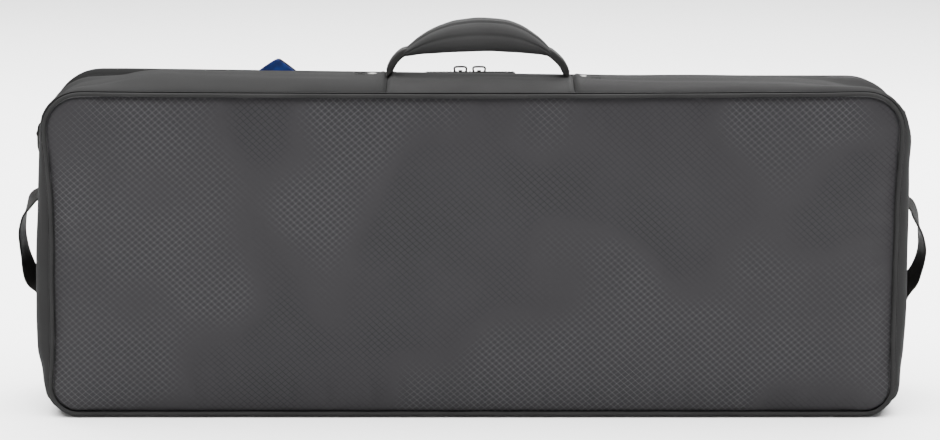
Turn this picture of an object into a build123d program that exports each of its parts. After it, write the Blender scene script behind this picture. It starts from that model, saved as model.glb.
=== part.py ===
from build123d import *
import os

# Padded gig bag for a four-octave keyboard, standing on its long narrow side.
# +X is the width, -Y is the near face, +Z is up. All sizes are millimetres.
# The origin is the centre of the bag's footprint, on the surface it stands on.

# ---- driving dimensions: the bag's outer form ----
PANEL_WIDTH = 852.0       # near and far panel, over the piping
PANEL_TOP = 332.0         # height of the piping's top edge
PANEL_FOOT = 2.0          # height of the piping's lower edge
TOP_RADIUS = 40.0         # upper corner radius of a panel
FOOT_RADIUS = 30.0        # lower corner radius of a panel
DEPTH = 150.0             # near piping face to far piping face
PIPING_DEPTH = 6.0        # piping size along Y
PIPING_WIDTH = 5.0        # piping size across its run
GUSSET_END = DEPTH / 2 - PIPING_DEPTH

# The gusset swells between the panels: Y, half width and top height of each section.
SECTIONS = [
    (-GUSSET_END, 426.0, 332.0),
    (-44.0, 440.0, 340.5),
    (-6.0, 441.0, 342.0),
    (22.0, 437.0, 334.0),
    (43.0, 437.0, 334.0),
    (GUSSET_END, 426.0, 331.0),
]
HALF_PANEL = PANEL_WIDTH / 2
TOP_STRAIGHT = HALF_PANEL - TOP_RADIUS      # the upper bends start at this |X|
FOOT_STRAIGHT = HALF_PANEL - FOOT_RADIUS    # the lower bends start at this |X|
SIDE_LOW = 45.0                             # the straight side walls start here
SIDE_HIGH = 282.0                           # and end here

# ---- driving dimensions: layers of the padded wall ----
FABRIC = 2.0
GUSSET_FOAM = 10.0
PANEL_FABRIC = 1.5
PANEL_FOAM = 12.0
LINING = 1.2
SKIN_FACE = DEPTH / 2 - 1.0                 # outer face of a panel's fabric
FOAM_FACE = SKIN_FACE - PANEL_FABRIC
LINING_FACE = FOAM_FACE - PANEL_FOAM
CAVITY_FACE = LINING_FACE - LINING
WALL_IN = FABRIC + GUSSET_FOAM              # inset of the gusset lining

# ---- driving dimensions: zip and lid ----
ZIP_Y = 32.3                                # centre line of the zip
COIL_GAP = 1.4                              # between the two coil rows
COIL_WIDTH = 1.7
TAPE_WIDTH = 7.0
COIL_PROUD = 0.3                            # coil above the gusset surface
COIL_DEPTH = 2.0
SLIDER_ROOM = 4.5                           # inset of the foam under the zip
BODY_EDGE = ZIP_Y - COIL_GAP / 2 - COIL_WIDTH - TAPE_WIDTH
LID_EDGE = ZIP_Y + COIL_GAP / 2 + COIL_WIDTH + TAPE_WIDTH
FOAM_BACK_OFF = 2.7                         # foam ends this far from the zip's centre
SPLIT_Z = 14.5                              # the lid's side walls start above this
LID_CLEAR = 0.6

# ---- driving dimensions: carry handle ----
HANDLE_X = 5.0
HANDLE_Y = -15.0
HANDLE_REACH = 90.0                         # handle centre to each root
HANDLE_AXIS_Z = 350.0
LEG_START = 5.0                             # the moving leg starts this far from the axis
LEG_THICK = 8.0
WEBBING = 25.0
HANDLE_CREST = 388.0                        # centre line of the inner strap at its top
SEAM_LEFT = -86.0
SEAM_RIGHT = 101.0
RIVET_X = (-102.0, 111.0)

# ---- driving dimensions: side handles and shoulder-strap rings ----
SIDE_Y = -8.0
SIDE_Z = 169.0
SIDE_SPAN = 94.0
SIDE_AXIS_OUT = 5.0                         # swing axis, out from the gusset surface
SIDE_START = 4.0
SIDE_THICK = 2.5
SIDE_REACH = 460.0                          # outer face of the loop
SIDE_SURFACE = 441.0
RING_Z = 280.0
RING_Y = 6.0
RING_OUT = 1.8                              # ring wire centre, out from the fullest surface
RING_WIRE = 1.3
RING_SPAN = 24.0
RING_DROP = 18.0

# ---- driving dimensions: zip sliders and their pulls ----
SLIDER_X = {"left": -12.9, "right": 6.4}
SLIDER_LENGTH = 16.0
SLIDER_WIDTH = 9.8
SLIDER_PLATE = 1.3
PULL_WIDTH = 14.5
PULL_HEIGHT = 12.0
PULL_WIRE = 0.9
PULL_LEAN = 60.0                            # the pulls lean back on the lid by this angle
ZIP_TOP = 334.0                             # gusset surface along the top run of the zip
PULL_AXIS_Z = ZIP_TOP + COIL_PROUD + 0.9 + SLIDER_PLATE + PULL_WIRE + 0.3

EVERYWHERE = 2000.0


def box(x0, x1, y0, y1, z0, z1):
    """A block between two corners."""
    centre = ((x0 + x1) / 2, (y0 + y1) / 2, (z0 + z1) / 2)
    return Pos(*centre) * Box(x1 - x0, y1 - y0, z1 - z0)


def outline(y, half_width, z0, z1, top_radius, foot_radius):
    """A rounded rectangle in the XZ plane at Y = y."""
    plane = Plane(origin=(0, y, (z0 + z1) / 2), x_dir=(1, 0, 0), z_dir=(0, -1, 0))
    face = Rectangle(2 * half_width, z1 - z0)
    corners = face.vertices()
    face = fillet([v for v in corners if v.Y > 0], top_radius)
    face = fillet([v for v in face.vertices().sort_by(Axis.Y)[:2]], foot_radius)
    return plane * face


def slab(y0, y1, inset):
    """A panel layer: the panel's outline, inset all round, between two Y values."""
    face = outline(
        y1, HALF_PANEL - inset, PANEL_FOOT + inset, PANEL_TOP - inset,
        TOP_RADIUS - inset, FOOT_RADIUS - inset,
    )
    return extrude(face, y1 - y0)


def gusset_solid(inset):
    """Everything inside the gusset surface moved inwards by inset."""
    faces = []
    for y, half_width, top in SECTIONS:
        swell = half_width - HALF_PANEL
        faces.append(outline(
            y, half_width - inset, inset, top - inset,
            TOP_RADIUS + swell - inset, FOOT_RADIUS + swell - inset,
        ))
    return loft(faces, ruled=True)


GUSSET = {}


def layer(outer, inner, y0, y1):
    """A ring of the gusset wall between two insets and two Y values."""
    for inset in (outer, inner):
        if inset not in GUSSET:
            GUSSET[inset] = gusset_solid(inset)
    keep = box(-EVERYWHERE, EVERYWHERE, y0, y1, -EVERYWHERE, EVERYWHERE)
    return (GUSSET[outer] & keep) - GUSSET[inner]


def above(z):
    return box(-EVERYWHERE, EVERYWHERE, -EVERYWHERE, EVERYWHERE, z, EVERYWHERE)


def below(z):
    return box(-EVERYWHERE, EVERYWHERE, -EVERYWHERE, EVERYWHERE, -EVERYWHERE, z)


def between_x(x0, x1):
    return box(x0, x1, -EVERYWHERE, EVERYWHERE, -EVERYWHERE, EVERYWHERE)


def mirrored(shape):
    return mirror(shape, Plane.YZ)


def wire_loop(points, radius, wire):
    """A round wire bent into a closed loop through the given corners."""
    line = FilletPolyline(*points, radius=radius, close=True)
    start = line.edges()[0]
    section = Plane(origin=start @ 0, z_dir=start % 0) * Circle(wire)
    return sweep(section, path=line)


# ---- near and far panels ----

def panel(side):
    """Piping, fabric, foam and lining of the near (-1) or far (+1) panel."""
    def placed(a, b, inset):
        y0, y1 = sorted((side * a, side * b))
        return slab(y0, y1, inset)

    piping = placed(DEPTH / 2 - PIPING_DEPTH, DEPTH / 2, 0)
    piping = fillet(piping.faces().sort_by(Axis.Y)[-1 if side > 0 else 0].edges(), 2.4)
    piping -= placed(0, DEPTH, PIPING_WIDTH)
    return {
        "piping": piping,
        "panel": placed(FOAM_FACE, SKIN_FACE, PIPING_WIDTH),
        "foam": placed(LINING_FACE, FOAM_FACE, PIPING_WIDTH),
        "lining": placed(CAVITY_FACE, LINING_FACE, PIPING_WIDTH),
    }


# ---- gusset: fabric, foam boards, lining ----

def body_part(ring_of):
    """The body's share of a gusset ring: in front of the zip, and all of the bottom."""
    front = ring_of(-GUSSET_END, BODY_EDGE)
    rear = ring_of(BODY_EDGE, GUSSET_END) & below(SPLIT_Z)
    return front + rear


def body_fabric():
    ring = body_part(lambda y0, y1: layer(0, FABRIC, y0, y1))
    strip = box(-FOOT_STRAIGHT, FOOT_STRAIGHT, -GUSSET_END, GUSSET_END, 0, FABRIC)
    ring -= box(-FOOT_STRAIGHT, FOOT_STRAIGHT, -EVERYWHERE, EVERYWHERE, -1, SIDE_LOW)
    return {
        "gusset_left": ring & between_x(-EVERYWHERE, SEAM_LEFT),
        "gusset_centre": ring & between_x(SEAM_LEFT, SEAM_RIGHT),
        "gusset_right": ring & between_x(SEAM_RIGHT, EVERYWHERE),
        "gusset_bottom": strip,
    }


def foam_ring(y0, y1, step_y):
    """Gusset foam, thinner beside the zip so that the sliders have room."""
    deep = sorted((y0, y1), key=lambda y: abs(y - ZIP_Y))[1]
    a, b = sorted((deep, step_y))
    thick = layer(FABRIC, WALL_IN, a, b)
    near_zip = y1 if step_y > y0 and deep == y0 else y0
    c, d = sorted((step_y, near_zip))
    return thick + layer(SLIDER_ROOM, WALL_IN, c, d)


def boards(ring, low):
    """Cut a foam ring into straight boards and bent corner strips."""
    corner_high = above(SIDE_HIGH) - between_x(-TOP_STRAIGHT, TOP_STRAIGHT)
    corner_low = below(SIDE_LOW) - between_x(-FOOT_STRAIGHT, FOOT_STRAIGHT)
    sides = above(SIDE_LOW) & below(SIDE_HIGH)
    ring = ring & above(low)
    return {
        "top": ring & above(SIDE_HIGH) & between_x(-TOP_STRAIGHT, TOP_STRAIGHT),
        "left": ring & sides & between_x(-EVERYWHERE, 0),
        "right": ring & sides & between_x(0, EVERYWHERE),
        "upper_corners": ring & corner_high,
        "lower_corners": ring & corner_low,
    }


def body_foam():
    ring = foam_ring(-CAVITY_FACE, ZIP_Y - FOAM_BACK_OFF, BODY_EDGE)
    parts = boards(ring, 0)
    rear = layer(FABRIC, WALL_IN, ZIP_Y - FOAM_BACK_OFF, CAVITY_FACE) & below(SPLIT_Z)
    rear -= between_x(-FOOT_STRAIGHT, FOOT_STRAIGHT)
    parts["lower_corners"] = parts["lower_corners"] + rear
    bottom = box(-FOOT_STRAIGHT, FOOT_STRAIGHT, -CAVITY_FACE, CAVITY_FACE, FABRIC, WALL_IN)
    parts["bottom"] = bottom
    return parts


def body_lining():
    front = layer(WALL_IN, WALL_IN + LINING, -CAVITY_FACE, ZIP_Y - FOAM_BACK_OFF)
    rear = layer(WALL_IN, WALL_IN + LINING, ZIP_Y - FOAM_BACK_OFF, CAVITY_FACE)
    return front + (rear & below(SPLIT_Z))


def lid_walls():
    start = SPLIT_Z + LID_CLEAR
    fabric = layer(0, FABRIC, LID_EDGE, GUSSET_END) & above(start)
    ring = foam_ring(ZIP_Y + FOAM_BACK_OFF, CAVITY_FACE, LID_EDGE)
    foam = boards(ring, start)
    lining = layer(WALL_IN, WALL_IN + LINING, ZIP_Y + FOAM_BACK_OFF, CAVITY_FACE)
    return fabric, foam, lining & above(start)


# ---- zip ----

def zip_parts():
    start = SPLIT_Z + LID_CLEAR
    stop_top = start + 5.0
    low = above(start)
    body_coil = ZIP_Y - COIL_GAP / 2 - COIL_WIDTH
    lid_coil = ZIP_Y + COIL_GAP / 2
    body_row = layer(-COIL_PROUD, COIL_DEPTH, body_coil, body_coil + COIL_WIDTH) & low
    lid_row = layer(-COIL_PROUD, COIL_DEPTH, lid_coil, lid_coil + COIL_WIDTH) & low
    return {
        "zip_tape_body": layer(0.6, 1.8, BODY_EDGE, body_coil) & low,
        "zip_coil_body": body_row & above(stop_top),
        "zip_end_stops": body_row & below(stop_top),
        "zip_tape_lid": layer(0.6, 1.8, lid_coil + COIL_WIDTH, LID_EDGE) & low,
        "zip_coil_lid": lid_row,
    }


def slider(x):
    """Two plates joined by a thin web between the coil rows, with a bridge on top."""
    top = ZIP_TOP + COIL_PROUD + 0.9
    foot = ZIP_TOP - COIL_DEPTH - 0.35
    x0 = x - SLIDER_LENGTH / 2
    x1 = x + SLIDER_LENGTH / 2
    y0 = ZIP_Y - SLIDER_WIDTH / 2
    y1 = ZIP_Y + SLIDER_WIDTH / 2
    plate = box(x0, x1, y0, y1, top, top + SLIDER_PLATE)
    plate = fillet(plate.edges().filter_by(Axis.Z), 3.0)
    lower = box(x0, x1, y0, y1, foot - SLIDER_PLATE, foot)
    lower = fillet(lower.edges().filter_by(Axis.Z), 3.0)
    web = box(x0 + 3, x1 - 3, ZIP_Y - 0.4, ZIP_Y + 0.4, foot - 0.2, top + 0.2)
    bridge_z = top + SLIDER_PLATE
    bridge = box(x - 2, x + 2, ZIP_Y - 3.2, ZIP_Y + 3.2, bridge_z - 0.1, bridge_z + 4.2)
    bridge = fillet(bridge.edges().filter_by(Axis.X).sort_by(Axis.Z)[-2:], 1.5)
    slot_z = PULL_AXIS_Z
    bridge -= box(x - 3, x + 3, ZIP_Y - 1.7, ZIP_Y + 1.7, bridge_z, slot_z + 1.4)
    return plate + lower + web + bridge


def pull_ring(x):
    """A wire loop in the slider's bridge, its lower bar along X, leaning back."""
    half = PULL_WIDTH / 2 - PULL_WIRE
    top = PULL_AXIS_Z + PULL_HEIGHT - PULL_WIRE
    points = [
        (x - half * 0.82, ZIP_Y, PULL_AXIS_Z),
        (x + half * 0.82, ZIP_Y, PULL_AXIS_Z),
        (x + half, ZIP_Y, top),
        (x - half, ZIP_Y, top),
    ]
    ring = wire_loop(points, 3.0, PULL_WIRE)
    return ring.rotate(Axis((0, ZIP_Y, PULL_AXIS_Z), (-1, 0, 0)), PULL_LEAN)


# ---- carry handle ----

def neck(reach, half_foot, height):
    """Profile of a fixed webbing root that narrows towards its swing axis."""
    profile = make_face(Polyline(
        (-half_foot, -height), (half_foot, -height), (reach, 0), (-reach, 0), close=True,
    ))
    return profile + Circle(reach)


def handle_roots():
    """Folded webbing stubs on the gusset, and the flat tails under the rivets."""
    stubs = []
    for x in (HANDLE_X - HANDLE_REACH, HANDLE_X + HANDLE_REACH):
        plane = Plane(
            origin=(x - LEG_THICK / 2, HANDLE_Y, HANDLE_AXIS_Z), x_dir=(0, 1, 0), z_dir=(1, 0, 0)
        )
        stub = extrude(plane * neck(LEG_START - 0.4, 10.5, 10.0), LEG_THICK)
        stubs.append(stub - GUSSET[0])
    half = WEBBING / 2
    tail = layer(-2.2, 0, HANDLE_Y - half, HANDLE_Y + half) & above(SIDE_HIGH)
    first = HANDLE_X - HANDLE_REACH - LEG_THICK / 2
    second = HANDLE_X + HANDLE_REACH + LEG_THICK / 2
    left = tail & between_x(-120.0, first)
    right = tail & between_x(second, 129.0)
    return Compound([s for part in (*stubs, left, right) for s in part.solids()])


def rivets(radius, low, high):
    """Round caps or washers on the handle's tails, at both rivet positions."""
    discs = []
    for x in RIVET_X:
        discs.append(Pos(x, HANDLE_Y, (low + high) / 2) * Cylinder(radius, high - low))
    return discs


def rivet_caps():
    """Domed caps on the handle tails."""
    base = 344.2
    caps = []
    for x in RIVET_X:
        cap = Pos(x, HANDLE_Y, base + 0.8) * Cylinder(4.8, 1.6)
        cap = fillet(cap.edges().sort_by(Axis.Z)[-1], 1.2)
        caps.append(cap)
    return Compound([s for c in caps for s in c.solids()])


def rivet_washers():
    """Backing washers inside the gusset, on the lining under each rivet."""
    top = 341.0 - WALL_IN - LINING - 0.3
    return Compound([s for d in rivets(7.0, top - 1.5, top) for s in d.solids()])


def grip_solid(shrink):
    """The padded grip: oval sections that swell towards the middle."""
    sections = [
        (-79.0, 366.0, 7.6, 15.5),
        (-45.0, 377.0, 12.4, 17.4),
        (0.0, 383.5, 16.5, 18.0),
        (45.0, 377.0, 12.4, 17.4),
        (79.0, 366.0, 7.6, 15.5),
    ]
    faces = []
    for x, z, half_height, half_width in sections:
        plane = Plane(origin=(HANDLE_X + x, HANDLE_Y, z), x_dir=(0, 1, 0), z_dir=(1, 0, 0))
        faces.append(plane * Ellipse(half_width - shrink, half_height - shrink))
    return loft(faces)


def handle_strap():
    """Folded webbing that rises from both roots and runs through the grip."""
    low = HANDLE_AXIS_Z + LEG_START
    half = LEG_THICK / 2
    def arc(offset):
        ends = HANDLE_REACH + offset
        return ThreePointArc(
            (HANDLE_X - ends, low), (HANDLE_X, HANDLE_CREST + offset), (HANDLE_X + ends, low)
        )
    outer = arc(half)
    inner = arc(-half)
    profile = make_face([
        outer, Line(outer @ 1, inner @ 1), inner, Line(inner @ 0, outer @ 0),
    ])
    plane = Plane(origin=(0, HANDLE_Y + WEBBING / 2, 0), x_dir=(1, 0, 0), z_dir=(0, -1, 0))
    return extrude(plane * profile, WEBBING)


# ---- side handles and D-rings, made for the right side ----

def side_roots():
    """Webbing stubs and stitched tails of a side handle."""
    parts = []
    for sign in (-1, 1):
        z = SIDE_Z + sign * (SIDE_SPAN / 2 - SIDE_THICK / 2) - SIDE_THICK / 2
        plane = Plane(
            origin=(SIDE_SURFACE + SIDE_AXIS_OUT, SIDE_Y, z), x_dir=(0, 1, 0), z_dir=(0, 0, 1)
        )
        profile = neck(SIDE_START - 0.4, 9.5, 8.0)
        stub = extrude(Plane(plane.origin, (0, 1, 0), (0, 0, 1)) * Rot(0, 0, 180) * profile,
                       SIDE_THICK)
        parts.append(stub - GUSSET[0])
    half = WEBBING / 2
    tail = layer(-2.0, 0, SIDE_Y - half, SIDE_Y + half) & between_x(0, EVERYWHERE)
    end = SIDE_Z - SIDE_SPAN / 2
    parts.append(tail & above(end - 26) & below(end))
    end = SIDE_Z + SIDE_SPAN / 2
    parts.append(tail & above(end) & below(end + 24))
    return Compound([s for part in parts for s in part.solids()])


def side_loop():
    """The part of a side handle that swings."""
    x0 = SIDE_SURFACE + SIDE_AXIS_OUT + SIDE_START
    half = SIDE_SPAN / 2
    rise = 16.0
    outer = Polyline(
        (x0, SIDE_Z - half), (SIDE_REACH, SIDE_Z - half + rise),
        (SIDE_REACH, SIDE_Z + half - rise), (x0, SIDE_Z + half),
    )
    inner = Polyline(
        (x0, SIDE_Z + half - 3.6), (SIDE_REACH - SIDE_THICK, SIDE_Z + half - rise - 0.8),
        (SIDE_REACH - SIDE_THICK, SIDE_Z - half + rise + 0.8), (x0, SIDE_Z - half + 3.6),
    )
    profile = make_face([
        *outer.edges(), Line(outer @ 1, inner @ 0), *inner.edges(), Line(inner @ 1, outer @ 0),
    ])
    plane = Plane(origin=(0, SIDE_Y + WEBBING / 2, 0), x_dir=(1, 0, 0), z_dir=(0, -1, 0))
    return extrude(plane * profile, WEBBING)


def ring_tab():
    """A webbing tab folded round the D-ring's bar and stitched to the gusset."""
    x = SIDE_SURFACE + RING_OUT
    width = RING_SPAN - 6.0
    fold = Rot(90, 0, 0) * (Cylinder(RING_WIRE + 1.9, width) - Cylinder(RING_WIRE + 0.3, width))
    fold = Pos(x, RING_Y, RING_Z) * fold
    tail = layer(-1.6, 0, RING_Y - width / 2, RING_Y + width / 2) & between_x(0, EVERYWHERE)
    tail = tail & above(RING_Z + 1.0) & below(RING_Z + 36)
    tail -= Pos(x, RING_Y, RING_Z) * Rot(90, 0, 0) * Cylinder(RING_WIRE + 1.2, width + 2)
    return (fold - GUSSET[0]) + tail


def d_ring():
    """The shoulder-strap ring, hanging from its bar."""
    x = SIDE_SURFACE + RING_OUT
    half = RING_SPAN / 2
    low = RING_Z - RING_DROP
    points = [
        (x, RING_Y - half, RING_Z), (x, RING_Y + half, RING_Z),
        (x, RING_Y + half, low + 6), (x, RING_Y + 6, low),
        (x, RING_Y - 6, low), (x, RING_Y - half, low + 6),
    ]
    return wire_loop(points, 2.4, RING_WIRE)


# ---- small fabric parts ----

def garage_strip():
    """A stiffened patch on the lid, behind the parked zip sliders."""
    strip = layer(-3.6, 0, LID_EDGE, LID_EDGE + 14) & above(SIDE_HIGH)
    return strip & between_x(-51.5, 45.5)


def tag_loop():
    """A ribbon loop sewn into the far seam, standing up as a triangle."""
    base = 330.0
    profile = make_face(Polyline((-235, base), (-176, base), (-204.5, base + 16.5), close=True))
    plane = Plane(origin=(0, GUSSET_END - 4, 0), x_dir=(1, 0, 0), z_dir=(0, -1, 0))
    return extrude(plane * profile, 1.6) - GUSSET[0]


def hold_down_strap(x):
    """An inner strap lying flat against the near lining, sewn at both ends."""
    face = -CAVITY_FACE
    strap = box(x - 19, x + 19, face, face + 1.8, 30, 300)
    pad = box(x - 19, x + 19, face + 1.8, face + 3.6, 60, 160)
    return strap, pad


def hinge_strip():
    """Reinforcing tape inside the bottom rear fold that the lid turns on."""
    return box(-390, 390, CAVITY_FACE + 1, GUSSET_END - 0.6, FABRIC, FABRIC + 1.2)


def build():
    near = panel(-1)
    far = panel(1)
    nodes = {f"near_{name}": shape for name, shape in near.items()}
    nodes.update({f"far_{name}": shape for name, shape in far.items()})
    nodes.update(body_fabric())
    foam = body_foam()
    for name in ("top", "left", "right", "bottom", "upper_corners", "lower_corners"):
        nodes[f"body_foam_{name}"] = foam[name]
    nodes["body_lining"] = body_lining()
    fabric, lid_foam, lining = lid_walls()
    nodes["lid_gusset"] = fabric
    for name in ("top", "left", "right", "upper_corners", "lower_corners"):
        nodes[f"lid_foam_{name}"] = lid_foam[name]
    nodes["lid_lining"] = lining
    nodes.update(zip_parts())

    for name, x in SLIDER_X.items():
        nodes[f"zip_slider_{name}"] = slider(x)
        nodes[f"pull_ring_{name}"] = pull_ring(x)

    strap = handle_strap()
    core = grip_solid(1.5)
    nodes["handle_roots"] = handle_roots()
    nodes["handle_strap"] = strap
    nodes["handle_grip_foam"] = core - strap
    nodes["handle_grip_cover"] = grip_solid(0) - core - strap
    nodes["handle_rivet_caps"] = rivet_caps()
    nodes["handle_rivet_washers"] = rivet_washers()

    right = {
        "side_handle_roots": side_roots(),
        "side_handle": side_loop(),
        "ring_tab": ring_tab(),
        "d_ring": d_ring(),
    }
    for name, shape in right.items():
        nodes[f"{name}_right"] = shape
        nodes[f"{name}_left"] = mirrored(shape)

    nodes["zip_garage_strip"] = garage_strip()
    nodes["tag_loop"] = tag_loop()
    nodes["hinge_strip"] = hinge_strip()
    for name, x in (("left", -230.0), ("right", 230.0)):
        band, pad = hold_down_strap(x)
        nodes[f"hold_down_strap_{name}"] = band
        nodes[f"hold_down_pad_{name}"] = pad
    return nodes


os.makedirs("parts", exist_ok=True)
for node_name, node_shape in build().items():
    solids = list(node_shape.solids())
    whole = solids[0] if len(solids) == 1 else Compound(solids)
    whole.label = node_name
    export_step(whole, f"parts/{node_name}.step")
    print(node_name, len(solids), round(sum(s.volume for s in solids)))
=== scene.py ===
import math

import bmesh
import bpy
import numpy as np
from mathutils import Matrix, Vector, noise


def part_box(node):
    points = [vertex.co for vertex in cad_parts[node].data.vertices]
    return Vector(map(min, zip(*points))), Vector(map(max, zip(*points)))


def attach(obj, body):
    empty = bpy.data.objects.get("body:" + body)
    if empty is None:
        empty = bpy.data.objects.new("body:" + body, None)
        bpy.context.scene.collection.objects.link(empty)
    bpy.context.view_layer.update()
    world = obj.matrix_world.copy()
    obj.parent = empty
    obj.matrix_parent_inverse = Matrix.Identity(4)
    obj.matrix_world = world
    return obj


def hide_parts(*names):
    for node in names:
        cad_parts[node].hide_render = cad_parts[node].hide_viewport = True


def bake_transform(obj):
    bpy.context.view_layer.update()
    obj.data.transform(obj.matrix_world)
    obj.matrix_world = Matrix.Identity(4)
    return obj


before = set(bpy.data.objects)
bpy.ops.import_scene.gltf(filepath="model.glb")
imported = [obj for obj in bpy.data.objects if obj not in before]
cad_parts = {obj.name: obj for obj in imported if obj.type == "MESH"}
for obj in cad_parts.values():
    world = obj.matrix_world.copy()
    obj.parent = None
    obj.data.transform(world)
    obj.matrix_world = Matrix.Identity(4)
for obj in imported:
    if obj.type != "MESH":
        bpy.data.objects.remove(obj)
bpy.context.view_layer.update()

MM = 0.001
UP = Vector((0, 0, 1))
ALONG_Y = Vector((0, 1, 0))

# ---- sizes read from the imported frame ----
near_low, near_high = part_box("near_piping")
centre_low, centre_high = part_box("gusset_centre")
PANEL_HALF = near_high.x
PANEL_TOP = near_high.z
PANEL_FOOT = near_low.z
NEAR_FACE = near_low.y
FAR_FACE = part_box("far_piping")[1].y
BODY_START = centre_low.y
BODY_EDGE = centre_high.y
LID_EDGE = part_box("zip_tape_lid")[1].y
LID_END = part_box("lid_gusset")[1].y
SEAM_LEFT = centre_low.x
SEAM_RIGHT = centre_high.x
ZIP_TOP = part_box("zip_tape_body")[1].z + 0.6 * MM
COIL_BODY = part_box("zip_coil_body")
COIL_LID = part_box("zip_coil_lid")
FOAM_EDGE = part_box("body_foam_top")[1].y
LID_FOAM_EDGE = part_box("lid_foam_top")[0].y
LINING_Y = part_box("near_lining")[1].y
FAR_LINING_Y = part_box("far_lining")[0].y

TOP_RADIUS = 40 * MM
FOOT_RADIUS = 30 * MM
PIPING_RADIUS = 2.05 * MM
WALL = 13.2 * MM            # cloth, foam and lining of the gusset's wall
TOP_LEAN = 0.0138           # the top falls by this much of the way to the right
TOP_SAG = 1.8 * MM          # the near panel's upper edge sags between its corners
PANEL_EDGE = 3.9 * MM       # the panel's cloth goes under the piping at this inset
FOOT_SPLIT = 0.60           # share of the lower bends that belongs to the bottom strip


# ---- small mathematics ----

def smooth(low, high, value):
    """0 below low, 1 above high, and a smooth step between."""
    t = min(max((value - low) / (high - low), 0.0), 1.0)
    return t * t * (3 - 2 * t)


def curve_through(points):
    """A smooth function through (x, y) points that doesn't overshoot them."""
    xs = [p[0] for p in points]
    ys = [p[1] for p in points]
    rise = [(ys[i + 1] - ys[i]) / (xs[i + 1] - xs[i]) for i in range(len(xs) - 1)]
    slope = [rise[0]]
    for a, b in zip(rise, rise[1:]):
        slope.append(0.0 if a * b <= 0 else 2 * a * b / (a + b))
    slope.append(rise[-1])

    def value(x):
        if x <= xs[0]:
            return ys[0]
        if x >= xs[-1]:
            return ys[-1]
        i = next(k for k in range(len(xs) - 1) if x <= xs[k + 1])
        h = xs[i + 1] - xs[i]
        t = (x - xs[i]) / h
        a = (1 + 2 * t) * (1 - t) ** 2 * ys[i] + t * (1 - t) ** 2 * h * slope[i]
        b = t * t * (3 - 2 * t) * ys[i + 1] + t * t * (t - 1) * h * slope[i + 1]
        return a + b

    return value


def curve_mm(points):
    """The same through points that are given in millimetres."""
    return curve_through([(x * MM, y * MM) for x, y in points])


def spread(low, high, count):
    """Even steps from low to high, both included."""
    return [low + (high - low) * i / count for i in range(count + 1)]


def walked(points):
    """How far each point lies from the first, along a polyline."""
    lengths = [0.0]
    for a, b in zip(points, points[1:]):
        lengths.append(lengths[-1] + (b - a).length)
    return lengths


# The gusset's swell beyond the panels, along the bag's depth: (Y, offset) in millimetres.
side_offset = curve_mm([
    (-71, -5.5), (-69, -2.2), (-65.5, 3.4), (-56, 10.8), (-42, 15.2), (-20, 15.8), (-4, 15), (10, 13.2),
    (23, 11), (43, 11), (56, 8.2), (65, 3.0), (69, -2.0), (71, -5.0),
])
top_offset = curve_mm([
    (-71, -5.5), (-69, -2.4), (-65.5, 1.6), (-56, 5.6), (-42, 8.2), (-24, 9.4), (-8, 10.1), (6, 9.2),
    (14, 6.6), (23, 2), (43, 2), (56, 2.4), (64, 1.2), (69, -2.0), (71, -5.0),
])
foot_offset = curve_mm([(-71, 3.5), (-66, 0.4), (-58, 0), (58, 0), (66, 0.4), (71, 3.5)])


def ripple(point, seed, size):
    """Smooth noise from -1 to 1 with features of about that size, in metres."""
    return noise.noise(Vector(point) / size + Vector((seed, seed * 1.7, -seed)))


# How far the top corners of the strip behind the near panel drop, at places along X in metres.
corner_drop = curve_through([
    (-0.430, 0.0145), (-0.412, 0.0140), (-0.386, 0.0125), (-0.362, 0.0085), (-0.338, 0.0030), (-0.308, 0.0),
    (0.300, 0.0), (0.353, 0.0030), (0.380, 0.0080), (0.400, 0.0110), (0.430, 0.0125),
])
# How far each side bulges beyond the even form, at heights above the floor.
left_bulge = curve_mm([
    (0, 9), (14, 3), (28, 0.4), (41, -1.4), (66, 2.8), (90, 3.0), (115, 2.4), (166, 1.0), (200, -1.0),
    (238, -2.6), (258, -3.8), (284, -5.0), (300, -4.4), (312, -2.0),
])
right_bulge = curve_mm([
    (0, -2), (16, -0.5), (41, -5.0), (66, -2.2), (115, 0), (180, -0.5), (238, -1.5), (258, -1.8),
    (284, -0.4), (300, 0), (312, 1.0),
])
# The same for the near panel's own edge.
left_taper = curve_mm([
    (0, 3.2), (28, 3.0), (53, 1.3), (94, -0.7), (135, -0.9), (176, -2.3), (217, -2.3), (258, 0), (289, 2.2),
    (330, 3.6),
])
right_taper = curve_mm([
    (0, 0.3), (28, 0), (53, -0.5), (94, -0.6), (176, -0.5), (217, -0.3), (258, 1.0), (289, 2.3), (330, 3.6),
])


def band(y, rise, fall):
    """1 inside a band of depths and 0 outside it; rise and fall are (from, to) in millimetres."""
    return smooth(rise[0] * MM, rise[1] * MM, y) * (1 - smooth(fall[0] * MM, fall[1] * MM, y))


def soften(point):
    """Moves a point of the outer form as the stuffed fabric really lies."""
    x, y, z = point
    taper, bulge = (left_taper(z), left_bulge(z)) if x < 0 else (right_taper(z), right_bulge(z))
    front = band(y, (-67, -30), (-2, 21))
    rear = smooth(43 * MM, 51 * MM, y)
    near = 1 - smooth(-68 * MM, -40 * MM, y)
    drop = TOP_LEAN * min(max(x, -0.36), 0.36) * (front + rear) + corner_drop(x) * front
    drop += TOP_SAG * near * max(0.0, 1 - (x / 0.38) ** 2)
    z -= drop * smooth(0.20, 0.33, z)
    x += taper * (1 - smooth(-71 * MM, -50 * MM, y)) * min(max(x / 0.42, -1.0), 1.0)
    x += math.copysign(1, x) * bulge * smooth(0.38, 0.43, abs(x)) * band(y, (-70, -50), (0, 20))
    return Vector((x, y, z))


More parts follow.
